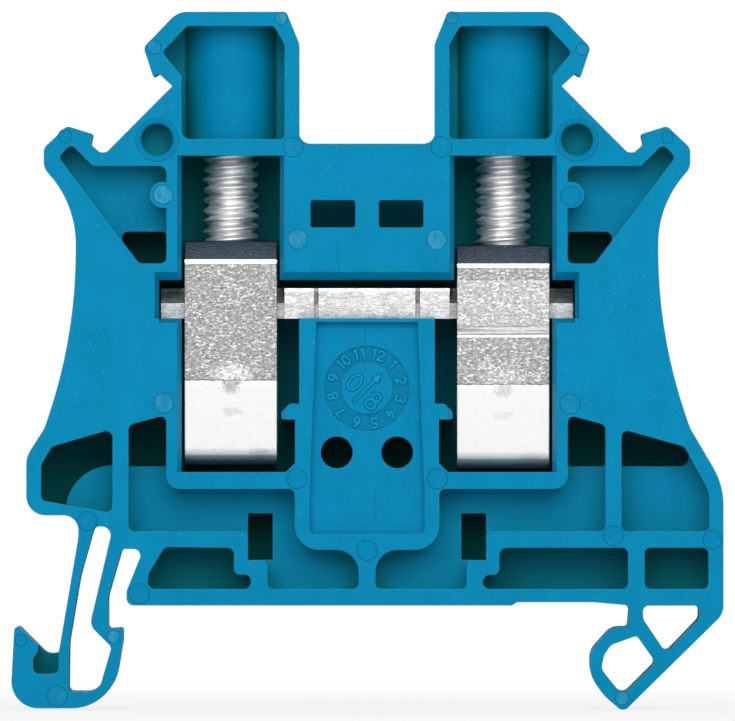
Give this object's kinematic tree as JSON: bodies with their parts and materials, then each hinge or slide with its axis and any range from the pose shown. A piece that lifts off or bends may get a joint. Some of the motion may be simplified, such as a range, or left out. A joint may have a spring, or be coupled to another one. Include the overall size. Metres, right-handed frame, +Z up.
{
  "type": "feed-through terminal block",
  "caption": "Feed-through terminal block that clips onto a 35 mm rail, with an open-sided moulded housing, a current bar and a screw-driven cage clamp at each end.",
  "frame": {"origin": "on the rail seat, under the middle between the two clamps, at half the slab's thickness", "axes": "+X along the wire from left to right as seen from the open side, +Y towards the closed side, +Z up from the rail"},
  "size_m": [0.0478, 0.0114, 0.0469],
  "materials": {
    "housing_plastic": "satin moulded",
    "tinned_bar": "bright tin plate",
    "plated_screw": "bright zinc plate",
    "plated_clamp": "tumbled zinc plate"
  },
  "bodies": {
    "housing": {"housing": "housing_plastic", "current_bar": "tinned_bar"},
    "left_screw": {"left_screw": "plated_screw"},
    "left_clamp": {"left_clamp": "plated_clamp"},
    "right_screw": {"right_screw": "plated_screw"},
    "right_clamp": {"right_clamp": "plated_clamp"}
  },
  "joints": [
    {"name": "left_screw_turn", "type": "hinge", "parent": "housing", "child": "left_screw", "pos_m": [-0.00915, 0, 0.0313], "axis": [0, 0, -1], "range_deg": [0, 2880]},
    {"name": "left_clamp_lift", "type": "slide", "parent": "housing", "child": "left_clamp", "axis": [0, 0, 1], "range_m": [0, 0.0056]},
    {"name": "right_screw_turn", "type": "hinge", "parent": "housing", "child": "right_screw", "pos_m": [0.00915, 0, 0.0313], "axis": [0, 0, -1], "range_deg": [0, 2880]},
    {"name": "right_clamp_lift", "type": "slide", "parent": "housing", "child": "right_clamp", "axis": [0, 0, 1], "range_m": [0, 0.0056]}
  ],
  "couplings": [
    {"joint": "left_screw_turn", "follows": "left_clamp_lift", "rad_per_m": 8976},
    {"joint": "right_screw_turn", "follows": "right_clamp_lift", "rad_per_m": 8976}
  ]
}
